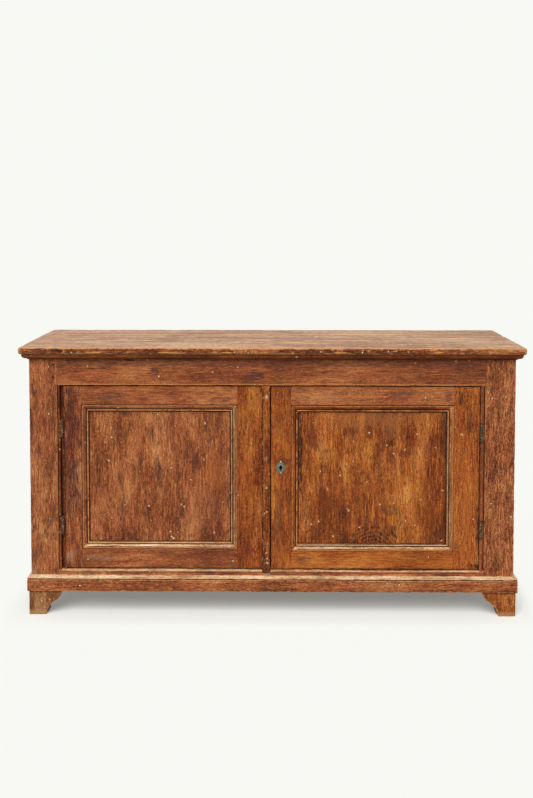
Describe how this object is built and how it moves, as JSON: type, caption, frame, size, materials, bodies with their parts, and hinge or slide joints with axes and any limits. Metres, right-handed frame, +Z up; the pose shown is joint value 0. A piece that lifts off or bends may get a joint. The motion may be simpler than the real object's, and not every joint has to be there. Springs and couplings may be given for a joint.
{
  "type": "buffet cabinet",
  "caption": "Low wooden buffet cabinet with frame-and-panel doors on butt hinges, a moulded top and plinth, bracket feet, an inner shelf and a lock with a diamond escutcheon.",
  "frame": {"origin": "on the floor, below the middle of the top", "axes": "+X to the right along the front, +Y to the back, +Z up"},
  "size_m": [1.96, 0.56, 1.06],
  "materials": {
    "stained_softwood": "old red-brown stain over softwood, rubbed through on the edges",
    "worn_top": "stain worn to a paler dry brown",
    "bare_softwood": "unfinished, darkened with age",
    "wrought_iron": "dark, rusted",
    "escutcheon_iron": "grey-green, rubbed bright on the rim"
  },
  "bodies": {
    "carcass": {"top_board_front": "worn_top", "top_board_rear": "worn_top", "rear_rail": "bare_softwood", "top_battens": "bare_softwood", "cornice_front": "stained_softwood", "cornice_left": "stained_softwood", "cornice_right": "stained_softwood", "plinth_front": "stained_softwood", "plinth_left": "stained_softwood", "plinth_right": "stained_softwood", "front_post_left": "stained_softwood", "front_post_right": "stained_softwood", "frieze_rail": "stained_softwood", "sill_rail": "stained_softwood", "frame_pegs": "stained_softwood", "bead_strip_left": "stained_softwood", "bead_strip_right": "stained_softwood", "side_left_front_board": "stained_softwood", "side_left_rear_board": "stained_softwood", "side_right_front_board": "stained_softwood", "side_right_rear_board": "stained_softwood", "back_board_1": "bare_softwood", "back_board_2": "bare_softwood", "back_board_3": "bare_softwood", "back_board_4": "bare_softwood", "floor_board_front": "bare_softwood", "floor_board_rear": "bare_softwood", "shelf": "bare_softwood", "shelf_cleats": "bare_softwood", "door_stops": "bare_softwood", "foot_front_left_face": "stained_softwood", "foot_front_left_side": "stained_softwood", "foot_front_right_face": "stained_softwood", "foot_front_right_side": "stained_softwood", "foot_rear_left": "stained_softwood", "foot_rear_right": "stained_softwood", "foot_blocks": "bare_softwood", "hinge_jamb_leaves": "wrought_iron", "hinge_pins": "wrought_iron"},
    "left_door": {"left_door_hinge_stile": "stained_softwood", "left_door_meeting_stile": "stained_softwood", "left_door_top_rail": "stained_softwood", "left_door_bottom_rail": "stained_softwood", "left_door_panel": "stained_softwood", "left_door_moulding": "stained_softwood", "meeting_strip": "stained_softwood", "hinge_door_leaves_left": "wrought_iron", "bolt_guides": "wrought_iron"},
    "right_door": {"right_door_hinge_stile": "stained_softwood", "right_door_meeting_stile": "stained_softwood", "right_door_top_rail": "stained_softwood", "right_door_bottom_rail": "stained_softwood", "right_door_panel": "stained_softwood", "right_door_moulding": "stained_softwood", "hinge_door_leaves_right": "wrought_iron", "escutcheon": "escutcheon_iron", "lock_case": "wrought_iron"},
    "upper_slide": {"upper_bolt": "wrought_iron"},
    "lower_slide": {"lower_bolt": "wrought_iron"},
    "lock_slide": {"lock_bolt": "wrought_iron"}
  },
  "joints": [
    {"name": "left_door_hinge", "type": "hinge", "parent": "carcass", "child": "left_door", "pos_m": [-0.8205, -0.243, 0.546], "axis": [0, 0, -1], "range_deg": [0, 165]},
    {"name": "right_door_hinge", "type": "hinge", "parent": "carcass", "child": "right_door", "pos_m": [0.817, -0.243, 0.531], "axis": [0, 0, 1], "range_deg": [0, 165]},
    {"name": "upper_bolt_slide", "type": "slide", "parent": "left_door", "child": "upper_slide", "axis": [0, 0, 1], "range_m": [0, 0.018]},
    {"name": "lower_bolt_slide", "type": "slide", "parent": "left_door", "child": "lower_slide", "axis": [0, 0, -1], "range_m": [0, 0.018]},
    {"name": "lock_bolt_slide", "type": "slide", "parent": "right_door", "child": "lock_slide", "axis": [-1, 0, 0], "range_m": [0, 0.012]}
  ]
}
